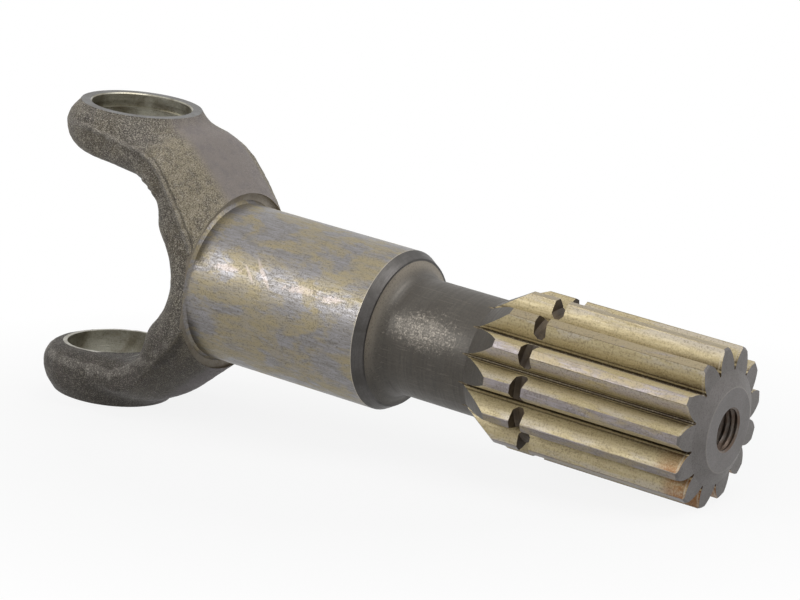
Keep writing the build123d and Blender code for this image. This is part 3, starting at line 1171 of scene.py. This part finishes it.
# %% [markdown]
# ## The floor
#
# The fork lies on the rim of its lower ear and on the tips of its teeth, so the
# floor is tilted to touch both. In the photograph the ground is plain white with a
# faint shadow under the part. Where the floor is seen it therefore glows white,
# a little less close to the part, so that the shadow shows. What it throws back on
# the part is the light of a middle grey, or the underside would be too bright.

# %% Floor
FLOOR_HALF = 6.0
FLOOR_GREY = 0.45
PART_MIDDLE = (0.11, 0, 0)


def seen_as_is(tree):
    """1 for rays that show a surface: straight to the eye, mirrored or through glass."""
    path = add_node(tree, "ShaderNodeLightPath").outputs
    bent = calculate(tree, "MAXIMUM", path["Is Glossy Ray"], path["Is Transmission Ray"])
    return calculate(tree, "MAXIMUM", path["Is Camera Ray"], bent)


lean = math.atan2(ear_face_z - tooth_tip_radius, crest_end_x - ear_face_radius)
up = Vector((-math.sin(lean), 0, math.cos(lean)))
lowest = min(up.dot(vert.co) for vert in fork_mesh.vertices)
floor_mesh = bpy.data.meshes.new("floor")
corners = [(-1, -1), (1, -1), (1, 1), (-1, 1)]
floor_mesh.from_pydata([(FLOOR_HALF * x, FLOOR_HALF * y, 0) for x, y in corners], [],
                       [(0, 1, 2, 3)])
floor = bpy.data.objects.new("floor", floor_mesh)
bpy.context.scene.collection.objects.link(floor)
floor.rotation_euler = (0, -lean, 0)
floor.location = up * (lowest - 0.02 * MM)
floor_material, tree = new_material("pale_floor", Roughness=0.9,
                                    Base_Color=(FLOOR_GREY, FLOOR_GREY, FLOOR_GREY, 1))
here = add_node(tree, "ShaderNodeTexCoord").outputs["Object"]
plain = add_node(tree, "ShaderNodeMapRange",
                 {"Value": vector_math(tree, "DISTANCE", here, PART_MIDDLE),
                  "From Min": 0.1, "From Max": 0.24, "To Min": 0.88, "To Max": 1.0})
glow = add_node(tree, "ShaderNodeEmission", {"Color": (1, 1, 1, 1), "Strength": 1.0})
share = multiply(tree, seen_as_is(tree), plain.outputs["Result"])
mixed = add_node(tree, "ShaderNodeMixShader",
                 {0: share, 1: tree.nodes["Principled BSDF"].outputs[0], 2: glow.outputs[0]})
tree.links.new(mixed.outputs[0], tree.nodes["Material Output"].inputs["Surface"])
floor_mesh.materials.append(floor_material)
print("floor leans", round(math.degrees(lean), 2), "degrees")

# %% [markdown]
# ## World and lamps
#
# The photograph has soft light from the front left and from above. Two large lamps
# give it, the stronger one overhead. The world is white where it is seen or mirrored,
# but sends only a little light, so that the lamps shape the part.

# %% World and lamps
WORLD_LIGHT = 0.13
world = bpy.data.worlds.new("studio")
world.use_nodes = True
bpy.context.scene.world = world
tree = world.node_tree
backdrop = tree.nodes["Background"]
backdrop.inputs["Color"].default_value = (1, 1, 1, 1)
strength = calculate(tree, "MULTIPLY_ADD", seen_as_is(tree), 1 - WORLD_LIGHT, WORLD_LIGHT)
tree.links.new(strength, backdrop.inputs["Strength"])


def soft_box(name, towards, distance, size, power):
    """A lamp that looks at the part from the direction towards, size metres wide and high."""
    lamp = bpy.data.lights.new(name, "AREA")
    lamp.energy = power
    lamp.shape = "RECTANGLE"
    lamp.size, lamp.size_y = size
    holder = bpy.data.objects.new(name, lamp)
    bpy.context.scene.collection.objects.link(holder)
    direction = Vector(towards).normalized()
    holder.location = Vector(PART_MIDDLE) + direction * distance
    holder.rotation_euler = direction.to_track_quat("Z", "Y").to_euler()
    print("lamp:", name, "of", power, "W")


soft_box("front_left_lamp", (-0.54, -0.72, 0.44), distance=1.2, size=(0.9, 0.35), power=6.5)
soft_box("top_lamp", (0.35, 0.0, 1.0), distance=1.3, size=(1.0, 1.0), power=14.0)

# %% [markdown]
# ## Camera
#
# The camera was fitted to the photograph: its focal length in pixels, its place and
# the three directions of its axes. The plain view transform keeps the colours as
# they were written.

# %% Camera
PHOTO_WIDTH = 800
FOCAL_PIXELS = 3250.3
camera_data = bpy.data.cameras.new("photo_camera")
camera_data.sensor_width = 36.0
camera_data.lens = 36.0 * FOCAL_PIXELS / PHOTO_WIDTH
camera_data.clip_end = 20.0
camera = bpy.data.objects.new("photo_camera", camera_data)
bpy.context.scene.collection.objects.link(camera)
right = Vector((0.82406, 0.55278, 0.12392))
upward = Vector((-0.24501, 0.15055, 0.95776))
backward = Vector((0.51078, -0.81961, 0.25950))
camera.matrix_world = Matrix((
    (right.x, upward.x, backward.x, 0.6687),
    (right.y, upward.y, backward.y, -0.8881),
    (right.z, upward.z, backward.z, 0.2915),
    (0, 0, 0, 1)))
bpy.context.scene.camera = camera
bpy.context.scene.view_settings.view_transform = "Standard"
print("camera with a lens of", round(camera_data.lens, 1), "mm")
